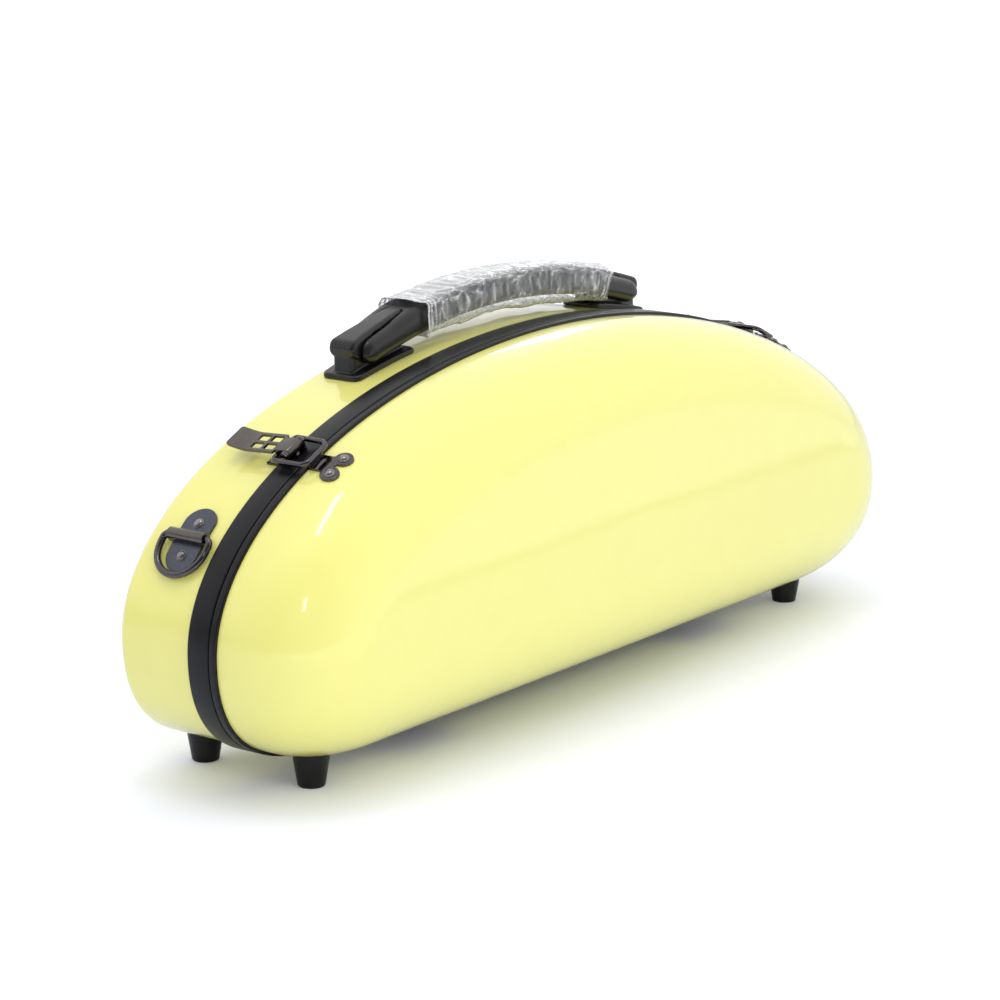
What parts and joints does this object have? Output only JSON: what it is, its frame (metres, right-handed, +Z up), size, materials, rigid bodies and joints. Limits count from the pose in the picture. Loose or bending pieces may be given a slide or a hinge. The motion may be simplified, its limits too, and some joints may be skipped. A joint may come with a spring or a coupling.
{
  "type": "clarinet case",
  "caption": "Hard half-moon clarinet case with a hinged lid, draw latches, strap rings, bridge handle, rubber feet and a padded pocketed interior.",
  "frame": {"origin": "on the floor under the middle of the case, which stands on its four feet", "axes": "+Z up, X along the case, -Y towards the lid, +Y towards the base shell"},
  "size_m": [0.4024, 0.099, 0.1621],
  "materials": {
    "yellow_shell": "pale yellow moulded shell, high gloss",
    "black_rubber": "matt black moulded rubber",
    "black_plastic": "satin black moulded plastic",
    "clear_film": "clear crinkled packing film",
    "dark_nickel": "black nickel plated steel, polished",
    "bright_steel": "bright plated steel",
    "satin_aluminium": "satin rolled strip",
    "plush": "black short-pile plush over foam"
  },
  "bodies": {
    "base": {"base_band": "black_rubber", "base_feet": "black_rubber", "base_foot_screws": "bright_steel", "base_insert": "plush", "base_shell": "yellow_shell", "grip_film": "clear_film", "handle_bracket_left": "black_plastic", "handle_bracket_right": "black_plastic", "handle_grip": "black_plastic", "handle_pins": "bright_steel", "handle_screws": "bright_steel", "hinge_leaf_base_left": "dark_nickel", "hinge_leaf_base_right": "dark_nickel", "hinge_pins": "bright_steel", "hinge_rivets_base": "bright_steel", "latch_bracket_left": "dark_nickel", "latch_bracket_right": "dark_nickel", "latch_bracket_rivets": "bright_steel", "latch_pin_left": "bright_steel", "latch_pin_right": "bright_steel", "ring_plate_left": "dark_nickel", "ring_plate_right": "dark_nickel", "ring_rivets": "bright_steel", "ring_strap_left": "dark_nickel", "ring_strap_right": "dark_nickel", "seam_lip": "satin_aluminium"},
    "lid": {"hinge_leaf_lid_left": "dark_nickel", "hinge_leaf_lid_right": "dark_nickel", "hinge_rivets_lid": "bright_steel", "latch_catch_left": "dark_nickel", "latch_catch_right": "dark_nickel", "latch_catch_rivets": "bright_steel", "lid_band": "black_rubber", "lid_feet": "black_rubber", "lid_foot_screws": "bright_steel", "lid_lining": "plush", "lid_pad": "plush", "lid_shell": "yellow_shell"},
    "lever_left": {"latch_lever_left": "dark_nickel"},
    "lever_right": {"latch_lever_right": "dark_nickel"},
    "loop_left": {"latch_loop_left": "dark_nickel"},
    "loop_right": {"latch_loop_right": "dark_nickel"},
    "ring_left": {"strap_ring_left": "dark_nickel"},
    "ring_right": {"strap_ring_right": "dark_nickel"}
  },
  "joints": [
    {"name": "lid_hinge", "type": "hinge", "parent": "base", "child": "lid", "pos_m": [0, -0.0045, 0.0075], "axis": [1, 0, 0], "range_deg": [0, 105]},
    {"name": "lever_left_swing", "type": "hinge", "parent": "base", "child": "lever_left", "pos_m": [-0.14819, 0.0008, 0.11943], "axis": [0.9032, 0, 0.4293], "range_deg": [-9, 108]},
    {"name": "loop_left_swing", "type": "hinge", "parent": "lever_left", "child": "loop_left", "pos_m": [-0.14788, 0.00494, 0.11877], "axis": [0.9032, 0, 0.4293], "range_deg": [-162, 13.5]},
    {"name": "lever_right_swing", "type": "hinge", "parent": "base", "child": "lever_right", "pos_m": [0.14819, 0.0008, 0.11943], "axis": [0.9032, 0, -0.4293], "range_deg": [-9, 108]},
    {"name": "loop_right_swing", "type": "hinge", "parent": "lever_right", "child": "loop_right", "pos_m": [0.14788, 0.00494, 0.11877], "axis": [0.9032, 0, -0.4293], "range_deg": [-162, 13.5]},
    {"name": "ring_left_swing", "type": "hinge", "parent": "base", "child": "ring_left", "pos_m": [-0.1846, 0.0184, 0.09191], "axis": [0, 1, 0], "range_deg": [0, 160]},
    {"name": "ring_right_swing", "type": "hinge", "parent": "base", "child": "ring_right", "pos_m": [0.1846, 0.0184, 0.09191], "axis": [0, -1, 0], "range_deg": [0, 160]}
  ],
  "couplings": [
    {"joint": "loop_left_swing", "follows": "lever_left_swing", "ratio": -1.5},
    {"joint": "loop_right_swing", "follows": "lever_right_swing", "ratio": -1.5}
  ]
}
